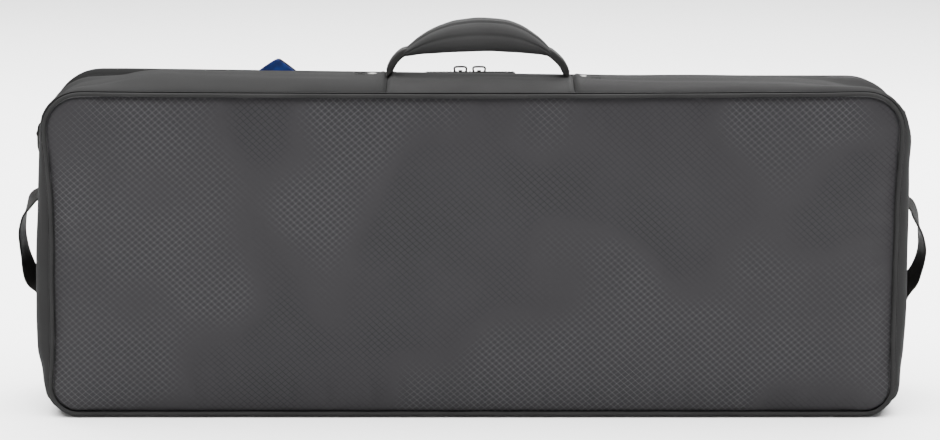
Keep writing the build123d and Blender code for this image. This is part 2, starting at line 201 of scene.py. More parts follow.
def skin_x(z, y, sign):
    """Distance of one side gusset's cloth from the bag's middle plane, at a height and depth."""
    radius = TOP_RADIUS + side_offset(y)
    bend = max(0.0, z - (PANEL_TOP + top_offset(y) - radius))
    x = PANEL_HALF - TOP_RADIUS + math.sqrt(max(radius ** 2 - bend ** 2, 0.0))
    return abs(soften(Vector((sign * x, y, z))).x)


# ---- the rounded outline, in named spans, seen from the near side ----

def ring_point(span, t, y, inset=0.0, panel=False):
    """A point and its outward normal on the outline at depth y, t of the way along a span."""
    side = PANEL_HALF if panel else PANEL_HALF + side_offset(y)
    top = PANEL_TOP if panel else PANEL_TOP + top_offset(y)
    foot = PANEL_FOOT if panel else foot_offset(y)
    swell = side - PANEL_HALF
    side, top, foot = side - inset, top - inset, foot + inset
    r_top = TOP_RADIUS + swell - inset
    r_foot = FOOT_RADIUS + swell - inset
    flat_top, bend_top = side - r_top, top - r_top
    flat_foot, bend_foot = side - r_foot, foot + r_foot
    lines = {
        "bottom": ((-flat_foot, foot), (flat_foot, foot), (0, -1)),
        "right": ((side, bend_foot), (side, bend_top), (1, 0)),
        "top_r": ((flat_top, top), (SEAM_RIGHT, top), (0, 1)),
        "top_c": ((SEAM_RIGHT, top), (SEAM_LEFT, top), (0, 1)),
        "top_l": ((SEAM_LEFT, top), (-flat_top, top), (0, 1)),
        "left": ((-side, bend_top), (-side, bend_foot), (-1, 0)),
    }
    arcs = {
        "foot_right": (flat_foot, bend_foot, r_foot, -90), "top_right": (flat_top, bend_top, r_top, 0),
        "top_left": (-flat_top, bend_top, r_top, 90), "foot_left": (-flat_foot, bend_foot, r_foot, 180),
    }
    if span in lines:
        a, b, normal = lines[span]
        x, z = (a[k] + (b[k] - a[k]) * t for k in (0, 1))
    else:
        centre_x, centre_z, radius, start = arcs[span]
        angle = math.radians(start + 90 * t)
        normal = (math.cos(angle), math.sin(angle))
        x = centre_x + radius * normal[0]
        z = centre_z + radius * normal[1]
    return Vector((x, y, z)), Vector((normal[0], 0, normal[1]))


SPAN_LENGTH = {
    "bottom": 0.79, "right": 0.24, "left": 0.24, "top_r": 0.285, "top_c": 0.187, "top_l": 0.30,
    "foot_right": 0.065, "foot_left": 0.065, "top_right": 0.08, "top_left": 0.08,
}
ALL_SPANS = [
    "bottom", "foot_right", "right", "top_right", "top_r", "top_c", "top_l", "top_left", "left",
    "foot_left",
]
SEAM_STEPS = (0.8, 1.8, 3.0, 4.2, 5.4, 7.2, 9.0)       # millimetres from a seam


def columns(spans, pitch, fine_ends=False):
    """(span, t) stations along spans, each a name or (name, t0, t1); fine_ends adds some near seams."""
    out = []
    for k, item in enumerate(spans):
        name, t0, t1 = item if isinstance(item, tuple) else (item, 0.0, 1.0)
        length = SPAN_LENGTH[name] * (t1 - t0)
        count = max(3, round(length / pitch))
        steps = set(spread(0, 1, count))
        if fine_ends and k == 0:
            steps |= {d * MM / length for d in SEAM_STEPS}
        if fine_ends and k == len(spans) - 1:
            steps |= {1 - d * MM / length for d in SEAM_STEPS}
        out += [(name, t0 + (t1 - t0) * share) for share in sorted(steps) if share > 0 or not out]
    return out


# ---- mesh builders ----

def link(name, mesh, material):
    """Puts a mesh in the scene as a smooth-shaded object."""
    piece = bpy.data.objects.new(name, mesh)
    bpy.context.scene.collection.objects.link(piece)
    mesh.materials.append(material)
    for polygon in mesh.polygons:
        polygon.use_smooth = True
    return piece


def grid(name, rows, material, close_u=False, close_v=False, caps=False):
    """A sheet through rows of points, with a UV map that holds real lengths in metres."""
    count_v = len(rows)
    count_u = len(rows[0])
    middle = rows[count_v // 2]
    centres = [row[count_u // 2] for row in rows]
    along = walked(middle + middle[:1])
    across = walked(centres + centres[:1])
    faces = []
    uvs = []
    for j in range(count_v if close_v else count_v - 1):
        for i in range(count_u if close_u else count_u - 1):
            corners = ((i, j), (i + 1, j), (i + 1, j + 1), (i, j + 1))
            faces.append([b % count_v * count_u + a % count_u for a, b in corners])
            uvs += [(along[a], across[b]) for a, b in corners]
    if caps:
        first = [j * count_u for j in range(count_v)]
        faces += [first, [j + count_u - 1 for j in reversed(first)]]
        uvs += [(0, v) for v in across[:count_v] + across[count_v - 1::-1]]
    mesh = bpy.data.meshes.new(name)
    mesh.from_pydata([p for row in rows for p in row], [], faces)
    layer = mesh.uv_layers.new(name="lengths")
    layer.data.foreach_set("uv", np.array(uvs, np.float32).ravel())
    mesh.update()
    tool = bmesh.new()
    tool.from_mesh(mesh)
    bmesh.ops.recalc_face_normals(tool, faces=tool.faces)
    tool.to_mesh(mesh)
    tool.free()
    return link(name, mesh, material)


def thicken(piece, thickness, offset=-1.0):
    """Gives a sheet its real thickness."""
    modifier = piece.modifiers.new("thickness", "SOLIDIFY")
    modifier.thickness = thickness
    modifier.offset = offset
    modifier.use_even_offset = True
    apply_modifiers(piece)


def subdivide(piece):
    """Rounds a piece by one step of subdivision."""
    modifier = piece.modifiers.new("smooth", "SUBSURF")
    modifier.levels = 1
    apply_modifiers(piece)


def apply_modifiers(piece):
    bpy.context.view_layer.update()
    graph = bpy.context.evaluated_depsgraph_get()
    mesh = bpy.data.meshes.new_from_object(piece.evaluated_get(graph))
    piece.modifiers.clear()
    piece.data = mesh


def face_out(piece, sample):
    """Turns a sheet's faces so that the one nearest the sample's point looks along its normal."""
    point, normal = sample
    mesh = piece.data
    nearest = min(mesh.polygons, key=lambda f: (f.center - point).length)
    if nearest.normal.dot(normal) < 0:
        mesh.flip_normals()


def tube(name, path, radius, material, sides=10):
    """A closed round tube along points; radius is a number or one value for each point."""
    count = len(path)
    rows = [[] for _ in range(sides)]
    side_vector = None
    for i, p in enumerate(path):
        tangent = (path[(i + 1) % count] - path[i - 1]).normalized()
        if side_vector is None:
            start = ALONG_Y if abs(tangent.y) < 0.9 else UP
            side_vector = (start - tangent * start.dot(tangent)).normalized()
        else:
            side_vector = (side_vector - tangent * side_vector.dot(tangent)).normalized()
        other = tangent.cross(side_vector)
        r = radius[i] if isinstance(radius, list) else radius
        for k in range(sides):
            angle = 2 * math.pi * k / sides
            rows[k].append(p + (side_vector * math.cos(angle) + other * math.sin(angle)) * r)
    return grid(name, rows, material, close_u=True, close_v=True)


# One face of a strap's section, with its thicker woven edges; the other face mirrors it.
STRAP_FACE = [
    (-0.50, -0.18), (-0.485, -0.42), (-0.44, -0.50), (-0.25, -0.46), (0.0, -0.44), (0.25, -0.46),
    (0.44, -0.50), (0.485, -0.42), (0.50, -0.18),
]
STRAP_SECTION = STRAP_FACE + [(-a, -b) for a, b in STRAP_FACE]


def strap(name, path, across, width, thickness, material):
    """Flat webbing with woven edges along points; across and thickness may vary along it."""
    rows = [[] for _ in STRAP_SECTION]
    count = len(path)
    for i, p in enumerate(path):
        tangent = (path[min(i + 1, count - 1)] - path[max(i - 1, 0)]).normalized()
        wide = across[i] if isinstance(across, list) else across
        wide = (wide - tangent * wide.dot(tangent)).normalized()
        normal = tangent.cross(wide)
        t = thickness[i] if isinstance(thickness, list) else thickness
        w = width[i] if isinstance(width, list) else width
        for k, (a, b) in enumerate(STRAP_SECTION):
            rows[k].append(p + wide * (a * w) + normal * (b * t))
    return grid(name, rows, material, close_v=True, caps=True)


def resample(points, spacing, closed=False):
    """Points at even spacing along a polyline."""
    line = points + points[:1] if closed else points
    lengths = walked(line)
    total = lengths[-1]
    count = max(2, round(total / spacing))
    out = []
    k = 0
    for i in range(count + (0 if closed else 1)):
        target = total * i / count
        while k < len(lengths) - 2 and lengths[k + 1] < target:
            k += 1
        span = max(lengths[k + 1] - lengths[k], 1e-9)
        out.append(line[k].lerp(line[k + 1], (target - lengths[k]) / span))
    return out


def smooth_path(points, spacing):
    """A smooth line through a few points, by Catmull-Rom pieces, evenly spaced."""
    p = [Vector(q) for q in points]
    p = [p[0] * 2 - p[1]] + p + [p[-1] * 2 - p[-2]]
    line = []
    for i in range(1, len(p) - 2):
        for s in range(12):
            t = s / 12
            line.append(0.5 * (
                2 * p[i] + (p[i + 1] - p[i - 1]) * t
                + (2 * p[i - 1] - 5 * p[i] + 4 * p[i + 1] - p[i + 2]) * t * t
                + (3 * p[i] - p[i - 1] - 3 * p[i + 1] + p[i + 2]) * t ** 3
            ))
    line.append(p[-2])
    return resample(line, spacing)


def scatter(name, places, half, material, wobble=0.0):
    """Many small rounded grains: each place is (centre, along, normal), half is half sizes."""
    base = bmesh.new()
    bmesh.ops.create_icosphere(base, subdivisions=1, radius=1.0)
    ball = np.array([v.co for v in base.verts], float)
    faces = [[v.index for v in f.verts] for f in base.faces]
    base.free()
    ball = np.sign(ball) * np.abs(ball) ** 0.7
    vertices = []
    polygons = []
    for n, (centre, along, normal) in enumerate(places):
        along = along.normalized()
        normal = (normal - along * normal.dot(along)).normalized()
        side = along.cross(normal)
        turn = wobble * math.sin(n * 2.4)
        along = (along + side * turn).normalized()
        axes = np.array([along * half[0], side * half[1], normal * half[2]])
        polygons += [[n * len(ball) + i for i in f] for f in faces]
        vertices.append(ball @ axes + np.array(centre))
    mesh = bpy.data.meshes.new(name)
    mesh.from_pydata(np.concatenate(vertices).tolist(), [], polygons)
    mesh.update()
    return link(name, mesh, material)


def stitch_line(path, normals, pitch=3.4 * MM):
    """Stitch places at even spacing along a path that has a normal at each point."""
    places = []
    line = resample(path, pitch)
    for p, q in zip(line, line[1:]):
        nearest = min(range(len(path)), key=lambda k: (path[k] - p).length_squared)
        places.append(((p + q) / 2, q - p, normals[nearest]))
    return places


def fit(piece, slot, body, *nodes):
    """Puts a piece under the body it moves with and hides the CAD nodes it stands in for. The slot is not
    used.
    """
    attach(piece, body)
    if nodes:
        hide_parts(*nodes)


def stitching(name, places, body):
    """Sewing thread: each stitch a short grain, a little askew."""
    half = (1.25 * MM, 0.34 * MM, 0.28 * MM)
    fit(scatter(name, places, half, THREAD, wobble=0.12), "webbing", body)


# ---- materials ----

class Nodes:
    """Short notation for building a material's node tree, or the world's."""

    def __init__(self, name, world=None):
        self.owner = world or bpy.data.materials.new(name)
        self.owner.use_nodes = True
        self.tree = self.owner.node_tree
        self.coordinates = self.node("TexCoord", {})
        self.object = self.coordinates["Object"]

    def put(self, socket, value):
        if isinstance(value, bpy.types.NodeSocket):
            self.tree.links.new(value, socket)
        else:
            socket.default_value = value

    def node(self, kind, inputs, **settings):
        """Adds a node, gives it settings and inputs, and returns its outputs."""
        node = self.tree.nodes.new("ShaderNode" + kind)
        for name, value in settings.items():
            setattr(node, name, value)
        for name, value in inputs.items():
            self.put(node.inputs[name], value)
        return node.outputs

    def math(self, operation, a, b=0.0):
        return self.node("Math", {0: a, 1: b}, operation=operation)[0]

    def times(self, a, b):
        return self.math("MULTIPLY", a, b)

    def ramp(self, value, low, high, to_low=0.0, to_high=1.0):
        inputs = dict(enumerate((value, low, high, to_low, to_high)))
        return self.node("MapRange", inputs, interpolation_type="SMOOTHSTEP")[0]

    def split(self, vector):
        return self.node("SeparateXYZ", {0: vector})

    def noise(self, scale, detail=2.0, rough=0.5):
        inputs = {"Vector": self.object, "Scale": scale, "Detail": detail, "Roughness": rough}
        return self.node("TexNoise", inputs)["Fac"]

    def mix(self, factor, a, b):
        return self.node("Mix", {0: factor, 6: a, 7: b}, data_type="RGBA")[2]

    def wave(self, value, period):
        """0 to 1 and back over each period."""
        return self.math("MULTIPLY_ADD", self.math("SINE", self.times(value, 2 * math.pi / period)), 0.5)

    def bump(self, height, distance, strength=1.0, after=None):
        inputs = {"Strength": strength, "Distance": distance * MM, "Height": height}
        if after is not None:
            inputs["Normal"] = after
        return self.node("Bump", inputs)[0]

    def done(self, colour, roughness, normal=None, shine=0.5, **others):
        """Fills the shader's inputs and gives the finished material."""
        inputs = {"Base Color": colour, "Roughness": roughness, "Specular IOR Level": shine, **others}
        if normal is not None:
            inputs["Normal"] = normal
        for name, value in inputs.items():
            self.put(self.tree.nodes["Principled BSDF"].inputs[name], value)
        return self.owner


def grey(value, warm=0.0):
    """A grey colour, a little warmer if asked."""
    return (value * (1 + warm), value, value * (1 - warm), 1)


def weave_height(n, u, v, period):
    """A plain weave: threads that pass over and under each other."""
    waves = [n.math("SINE", n.times(value, 2 * math.pi / period)) for value in (u, v)]
    return n.times(*waves)


def ripstop():
    """Black-grey nylon with a raised diamond grid: painted highlight on its lines in some patches, painted
    shade in their furrows in others.
    """
    n = Nodes("ripstop_diamond")
    x, _, z = n.split(n.object)
    across = n.math("ADD", x, n.times(n.math("SUBTRACT", n.noise(22.0), 0.5), 0.0016))
    u = n.math("ADD", n.times(across, 1 / (7.35 * MM)), n.times(z, 1 / (6.9 * MM)))
    v = n.math("SUBTRACT", n.times(across, 1 / (7.2 * MM)), n.times(z, 1 / (5.9 * MM)))
    places = [n.math("ABSOLUTE", n.math("SUBTRACT", n.math("FRACT", value), 0.5)) for value in (u, v)]
    threads = [n.ramp(place, 0.462, 0.490) for place in places]
    line = n.math("MAXIMUM", *threads)
    # Painted shade: the furrows beside the grid lines, painted dark where the lines are not lit.
    furrow_shade = n.math("MAXIMUM", *[n.ramp(place, 0.424, 0.466) for place in places])
    # Painted highlight: large patches in which the grid lines are painted light as if they catch the light.
    highlight_patch = n.ramp(n.noise(6.0, 1.0), 0.42, 0.58)
    fade = n.ramp(n.noise(10.0, 2.0), 0.34, 0.62, 0.60, 1.0)
    fine = n.ramp(n.noise(900.0, 2.0), 0.35, 0.75, 0.0, 0.30)
    broad = n.noise(16.0, 3.0)
    colour = n.mix(broad, (0.0118, 0.0112, 0.0124, 1), (0.0150, 0.0142, 0.0157, 1))
    colour = n.mix(fine, colour, (0.0070, 0.0067, 0.0073, 1))
    # The ground is painted a little darker in the highlight patches to balance the painted highlight on the
    # lines.
    colour = n.mix(n.times(highlight_patch, 0.5), colour, (0.0078, 0.0074, 0.0082, 1))
    painted_shade_amount = n.times(n.times(furrow_shade, fade), n.math("SUBTRACT", 1.0, highlight_patch))
    colour = n.mix(n.times(painted_shade_amount, 0.95), colour, (0.0006, 0.0006, 0.0008, 1))
    painted_highlight_amount = n.times(n.times(line, fade), highlight_patch)
    colour = n.mix(n.times(painted_highlight_amount, 0.9), colour, (0.068, 0.067, 0.070, 1))
    weave = n.bump(weave_height(n, x, z, 0.62 * MM), 0.05, 0.5)
    height = n.math("ADD", line, n.times(n.times(*threads), 0.5))
    return n.done(colour, n.ramp(line, 0.0, 1.0, 0.56, 0.42), n.bump(height, 0.10, 0.6, weave), 0.16)


def nylon(name, dark, light, period, roughness, depth, shine):
    """Plain-woven pack cloth, on a UV map of real lengths, rubbed lighter here and there."""
    n = Nodes(name)
    u, v, _ = n.split(n.coordinates["UV"])
    weave = weave_height(n, u, v, period * MM)
    broad = n.noise(14.0, 4.0)
    fibre = n.noise(1300.0, 2.0)
    colour = n.mix(n.ramp(broad, 0.25, 0.75), grey(dark), grey(light))
    colour = n.mix(n.ramp(weave, -0.2, 0.9, 0.0, 0.16), colour, grey(light * 1.4))
    colour = n.mix(n.ramp(fibre, 0.4, 0.8, 0.0, 0.20), colour, grey(dark * 0.5))
    rough = n.ramp(broad, 0.2, 0.8, roughness - 0.05, roughness + 0.07)
    creases = n.bump(n.noise(60.0, 3.0), 0.9, 0.25)
    return n.done(colour, rough, n.bump(weave, depth, 0.8, creases), shine)


def webbing(name, dark, light, tint):
    """Woven strap: fine ribs along its length, chevrons across it."""
    n = Nodes(name)
    u, v, _ = n.split(n.coordinates["UV"])
    rib = n.wave(v, 1.5 * MM)
    chevron = n.math("SINE", n.math("ADD", n.times(u, 2 * math.pi / (1.3 * MM)), n.times(rib, 3.0)))
    worn = n.noise(90.0, 3.0)
    colour = n.mix(n.ramp(chevron, -0.6, 0.9), grey(dark, tint), grey(light, tint))
    colour = n.mix(n.ramp(worn, 0.45, 0.85, 0.0, 0.5), colour, grey(light * 1.4, tint))
    height = n.math("ADD", rib, n.times(chevron, 0.6))
    return n.done(colour, n.ramp(worn, 0.2, 0.8, 0.55, 0.72), n.bump(height, 0.22, 0.8), 0.10)


def grained(name, dark, light, scale, detail, rough, depth, strength, shine):
    """Thread or plastic: a fine grain in the colour, the roughness and the surface."""
    n = Nodes(name)
    grain = n.noise(scale, detail)
    colour = n.mix(grain, grey(dark), grey(light))
    return n.done(colour, n.ramp(grain, 0.3, 0.7, *rough), n.bump(grain, depth, strength), shine)


def metal(name, colour, roughness, metallic, shine):
    """Plated or lacquered metal with faint scratches and patchy roughness."""
    n = Nodes(name)
    scratch = n.noise(700.0, 4.0, 0.7)
    smudge = n.noise(120.0, 2.0)
    bright = tuple(c * 1.6 for c in colour)
    colour = n.mix(n.ramp(scratch, 0.55, 0.8, 0.0, 0.5), (*colour, 1), (*bright, 1))
    rough = n.ramp(smudge, 0.3, 0.7, roughness - 0.08, roughness + 0.12)
    return n.done(colour, rough, n.bump(scratch, 0.03, 0.4), shine, Metallic=metallic)


def satin(name, dark, light):
    """Satin ribbon, lighter where it has rubbed."""
    n = Nodes(name)
    rib = n.wave(n.split(n.coordinates["UV"])[1], 0.7 * MM)
    worn = n.noise(110.0, 3.0)
    colour = n.mix(n.ramp(worn, 0.3, 0.75), (*dark, 1), (*light, 1))
    return n.done(colour, n.ramp(rib, 0.0, 1.0, 0.42, 0.55), n.bump(rib, 0.08, 0.7), 0.2)


def plush():
    """Brushed lining with a short directionless nap."""
    n = Nodes("plush_lining")
    nap = n.noise(800.0, 4.0, 0.7)
    broad = n.noise(18.0, 3.0)
    colour = n.mix(n.ramp(broad, 0.3, 0.7), (0.066, 0.066, 0.071, 1), (0.078, 0.078, 0.084, 1))
    colour = n.mix(n.ramp(nap, 0.35, 0.7, 0.0, 0.45), colour, (0.14, 0.14, 0.145, 1))
    rough = n.ramp(nap, 0.3, 0.7, 0.85, 0.98)
    return n.done(colour, rough, n.bump(nap, 0.4, 0.6), **{"Sheen Weight": 0.1})


def hook_tape():
    """Hook-and-loop tape: a regular field of tiny hooks."""
    n = Nodes("hook_tape")
    x, _, z = n.split(n.object)
    dots = weave_height(n, x, z, 1.4 * MM)
    colour = n.mix(n.ramp(dots, -0.4, 0.8), grey(0.005), grey(0.018))
    return n.done(colour, n.ramp(dots, -0.5, 0.9, 0.8, 0.5), n.bump(dots, 0.5, 0.9))


# Cloths: darkest and lightest grey, thread pitch (mm), roughness, thread height (mm) and shine.
GUSSET = nylon("gusset_pack_cloth", 0.0118, 0.0160, 0.9, 0.72, 0.035, 0.02)
# Painted light: the centre strip is the same cloth as the gusset, painted lighter to cancel the shadow that
# the carry handle casts on it.
CENTRE_PAINTED_LIGHT = nylon("gusset_centre_painted_light_cloth", 0.0155, 0.0215, 0.9, 0.72, 0.035, 0.02)
# Painted shade: the lid's strip is the same cloth as the gusset, painted darker to stand for the shade on
# its rear slope that rises behind the zip.
LID_GUSSET_SHADED = nylon("lid_gusset_painted_shade_cloth", 0.0062, 0.0090, 0.9, 0.76, 0.035, 0.02)
GARAGE = nylon("garage_strip_cloth", 0.0045, 0.0075, 0.9, 0.76, 0.05, 0.02)
WELT = nylon("piping_cloth", 0.0135, 0.0190, 0.8, 0.70, 0.04, 0.03)
GRIP = nylon("grip_cloth", 0.0190, 0.0260, 1.0, 0.74, 0.05, 0.03)
TAPE = nylon("zip_tape_cloth", 0.0045, 0.0070, 0.7, 0.70, 0.06, 0.10)
RIPSTOP = ripstop()
PLUSH = plush()
WEBBING = webbing("black_webbing", 0.0025, 0.0095, 0.06)
LEG_WEBBING = webbing("handle_webbing", 0.0060, 0.0170, 0.03)
THREAD = grained("black_thread", 0.0027, 0.00675, 2200.0, 1.0, (0.42, 0.60), 0.1, 0.6, 0.06)
# Painted shade: a near-black cord material for the shadowed seam beside the piping.
SEAM_SHADOW = grained("seam_shadow_cord", 0.00072, 0.0018, 2200.0, 1.0, (0.42, 0.60), 0.1, 0.6, 0.06)
COIL = grained("zip_coil_plastic", 0.004, 0.0065, 900.0, 3.0, (0.34, 0.48), 0.04, 0.5, 0.5)
DARK_METAL = metal("black_lacquered_metal", (0.0060, 0.0054, 0.0048), 0.50, 0.0, 0.02)
STEEL = metal("nickel_plate", (0.15, 0.147, 0.142), 0.34, 1.0, 0.2)
BLUE = satin("blue_satin_ribbon", (0.0012, 0.007, 0.055), (0.004, 0.022, 0.13))
# Painted shade: the same blue ribbon, painted much darker for its back layer, which lies behind the front
# layer in its shade.
BLUE_SHADED = satin("blue_ribbon_back_painted_shade", (0.0010, 0.0014, 0.006), (0.002, 0.003, 0.014))
HOOKS = hook_tape()


def dress(node, material):
    """Gives a CAD node that is kept its own material."""
    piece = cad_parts[node]
    piece.data.materials.clear()
    piece.data.materials.append(material)


# ---- outer gusset pieces ----

def wrinkled(point, normal, seed, amount):
    """Pushes a soft point in or out by a few tenths of a millimetre to a millimetre."""
    broad = ripple(point, seed, 0.075)
    stretched = Vector((point.x * 0.16, point.y * 1.7, point.z * 0.16))
    crease = ripple(stretched, seed + 5, 0.016)
    return point + normal * (amount * (0.8 * broad + 0.55 * crease))


def seam_dip(distance):
    """Depth of the valley at a sewn seam, and the ridge that its allowance makes beside it."""
    valley = 2.3 * MM * math.exp(-(distance / (2.0 * MM)) ** 2)
    return valley - 0.7 * MM * math.exp(-((distance - 5.0 * MM) / (2.2 * MM)) ** 2)


def gusset_piece(name, spans, depths, seed, material, body, nodes):
    """A strip of gusset that swells between its ends; the shell's strips dip into seams there."""
    stations = columns(spans, 6 * MM, fine_ends=True)
    lengths = walked([ring_point(s, t, 0.0)[0] for s, t in stations])
    rows = []
    for y in depths:
        loose = band(y, (-71, -55), (4, 18)) + band(y, (46, 52), (60, 71))
        row = []
        for (s, t), length in zip(stations, lengths):
            point, normal = ring_point(s, t, y)
            point = wrinkled(soften(point), normal, seed, 1.3 * MM * loose)
            if body == "shell":
                point -= normal * (seam_dip(length) + seam_dip(lengths[-1] - length))
            if s == "bottom":
                point.z = max(point.z, 0.15 * MM)
            row.append(point)
        rows.append(row)
    piece = grid(name, rows, material)
    face_out(piece, ring_point(*stations[len(stations) // 2], depths[len(depths) // 2]))
    thicken(piece, 1.8 * MM)
    fit(piece, "gusset_nylon", body, *nodes)


def depth_rows(start, end, pitch=5 * MM):
    """Depths from seam to zip edge, closer together at both ends."""
    rows = spread(start, end, round((end - start) / pitch))
    rows += [start + d * MM for d in (0.8, 1.8, 3.0, 4.5)] + [end - d * MM for d in (0.6, 1.5)]
    return sorted(set(rows))


right_spans = [("foot_right", FOOT_SPLIT, 1.0), "right", "top_right", "top_r"]
left_spans = ["top_l", "top_left", "left", ("foot_left", 0.0, 1 - FOOT_SPLIT)]
bottom_spans = [("foot_left", 1 - FOOT_SPLIT, 1.0), "bottom", ("foot_right", 0.0, FOOT_SPLIT)]
lid_spans = [
    ("foot_right", FOOT_SPLIT + 0.03, 1.0), "right", "top_right", "top_r", "top_c", "top_l",
    "top_left", "left", ("foot_left", 0.0, 1 - FOOT_SPLIT - 0.03),
]

body_depths = depth_rows(BODY_START - 1.6 * MM, BODY_EDGE)
whole_depth = depth_rows(BODY_START - 1.6 * MM, LID_END + 1.2 * MM, 8 * MM)
lid_depths = depth_rows(LID_EDGE, LID_END + 1.6 * MM, 4 * MM)
gusset_piece("gusset_right_cover", right_spans, body_depths, 3.1, GUSSET, "shell",
             ["gusset_right", "body_foam_right"])
gusset_piece("gusset_centre_cover", ["top_c"], body_depths, 8.4, CENTRE_PAINTED_LIGHT, "shell",
             ["gusset_centre", "body_foam_top"])
gusset_piece("gusset_left_cover", left_spans, body_depths, 12.7, GUSSET, "shell",
             ["gusset_left", "body_foam_left", "body_foam_upper_corners"])
gusset_piece("gusset_bottom_cover", bottom_spans, whole_depth, 17.3, GUSSET, "shell",
             ["gusset_bottom", "body_foam_bottom", "body_foam_lower_corners"])
gusset_piece("lid_gusset_cover", lid_spans, lid_depths, 23.9, LID_GUSSET_SHADED, "lid",
             ["lid_gusset", "lid_foam_top", "lid_foam_left", "lid_foam_right",
              "lid_foam_upper_corners", "lid_foam_lower_corners"])


def run_along(spans, y, lift):
    """A path on the gusset surface at one depth, with its normals."""
    points = []
    normals = []
    for s, t in columns(spans, 6 * MM):
        point, normal = ring_point(s, t, y)
        points.append(soften(point) + normal * lift)
        normals.append(normal)
    return points, normals


# Edge stitching beside the zip on both sides.
body_run = right_spans + ["top_c"] + left_spans
for name, spans, y, body in (
    ("body_zip_stitching", body_run, BODY_EDGE - 2.6 * MM, "shell"),
    ("lid_zip_stitching", lid_spans, LID_EDGE + 2.6 * MM, "lid"),
):
    stitching(name, stitch_line(*run_along(spans, y, 0.1 * MM)), body)


# ---- piping ----

def welt(name, face, direction, body, node):
    """Piping: cord wrapped in cloth, sewn round a panel's edge."""
    path = []
    radii = []
    y = face + direction * (PIPING_RADIUS + 0.1 * MM)
    for s, t in columns(ALL_SPANS, 5 * MM)[:-1]:
        point, normal = ring_point(s, t, y, panel=True)
        point -= normal * (PIPING_RADIUS + 0.1 * MM)
        point = soften(point)
        uneven = ripple(point, 31.0 + direction, 0.03)
        path.append(point + normal * (0.25 * MM * uneven))
        radii.append(PIPING_RADIUS * (1 + 0.04 * ripple(point, 41.0, 0.012)))
    piece = tube(name, path, radii, WELT, sides=14)
    fit(piece, "piping", body, node)


welt("near_piping_cord", NEAR_FACE, 1, "shell", "near_piping")
welt("far_piping_cord", FAR_FACE, -1, "lid", "far_piping")


def seam_shadow_cord(name, face, direction, body):
    """Painted shade: a dark cord along the seam between the piping and the gusset, standing in for the
    shadow there.
    """
    path = []
    for s, t in columns(ALL_SPANS, 6 * MM)[:-1]:
        point, normal = ring_point(s, t, face + direction * 4.3 * MM, panel=True)
        path.append(soften(point) + normal * (0.0 if s == "bottom" else 0.35 * MM))
    piece = tube(name, path, 0.75 * MM, SEAM_SHADOW, sides=8)
    fit(piece, "webbing", body)


seam_shadow_cord("near_seam_shadow_cord", NEAR_FACE, 1, "shell")
seam_shadow_cord("far_seam_shadow_cord", FAR_FACE, -1, "lid")


# ---- padded panels ----

def panel_steps(low, high, pitch):
    """Places from seam to seam across a panel, closer together beside the seams."""
    first, last = low + 5 * MM, high - 5 * MM
    middle = spread(first, last, round((last - first) / pitch))
    return [low, low + 1.8 * MM] + middle + [high - 1.8 * MM, high]


def panel_grid(pitch, inset):
    """A flat grid at Y = 0, cut to the rounded outline, and each row's steps from its rim."""
    half = PANEL_HALF - inset
    low = PANEL_FOOT + inset
    high = PANEL_TOP - inset
    across = panel_steps(-half, half, pitch)
    upward = panel_steps(low, high, pitch)

    def squeeze(x, z):
        """Maps a square grid point on a rounded rectangle by pulling its corners in."""
        side = math.copysign(1, x)
        rise = 1 if z > (low + high) / 2 else -1
        radius = (TOP_RADIUS if rise > 0 else FOOT_RADIUS) - inset
        centre_x = side * (half - radius)
        centre_z = (high if rise > 0 else low) - rise * radius
        dx = (x - centre_x) * side
        dz = (z - centre_z) * rise
        if dx > 0 and dz > 0:
            scale = max(dx, dz) / math.hypot(dx, dz)
            x = centre_x + dx * scale * side
            z = centre_z + dz * scale * rise
        return Vector((x, 0, z))

    rows = [[squeeze(x, z) for x in across] for z in upward]
    last_x = len(across) - 1
    last_z = len(upward) - 1
    rim = [[min(i, last_x - i, j, last_z - j) for i in range(last_x + 1)] for j in range(last_z + 1)]
    return rows, rim


def puff(piece, pinned, pressure, slack, cap, frames=20):
    """Swells a sheet by a cloth simulation under pressure, then limits how far points moved."""
    scene = bpy.context.scene
    piece.vertex_groups.new(name="pinned").add(pinned, 1.0, "REPLACE")
    rest = np.array([v.co for v in piece.data.vertices], float)
    modifier = piece.modifiers.new("cloth", "CLOTH")
    for name, value in {
        "quality": 6, "mass": 0.25, "tension_stiffness": 12, "compression_stiffness": 12,
        "shear_stiffness": 4, "bending_stiffness": 0.35, "use_pressure": True,
        "uniform_pressure_force": pressure, "shrink_min": -slack, "vertex_group_mass": "pinned",
        "pin_stiffness": 1.0,
    }.items():
        setattr(modifier.settings, name, value)
    modifier.settings.effector_weights.gravity = 0
    modifier.collision_settings.use_collision = False
    for keeper in (modifier.point_cache, scene):
        keeper.frame_start = 1
        keeper.frame_end = frames
    for number in range(1, frames + 1):
        scene.frame_set(number)
    swollen = piece.evaluated_get(bpy.context.evaluated_depsgraph_get())
    step = np.array([v.co for v in swollen.data.vertices], float) - rest
    piece.modifiers.clear()
    piece.vertex_groups.clear()
    scene.frame_set(1)
    length = np.linalg.norm(step, axis=1, keepdims=True)
    final = rest + step * (cap * np.tanh(length / cap) / np.maximum(length, 1e-9))
    piece.data.vertices.foreach_set("co", final.astype(np.float32).ravel())
    piece.data.update()


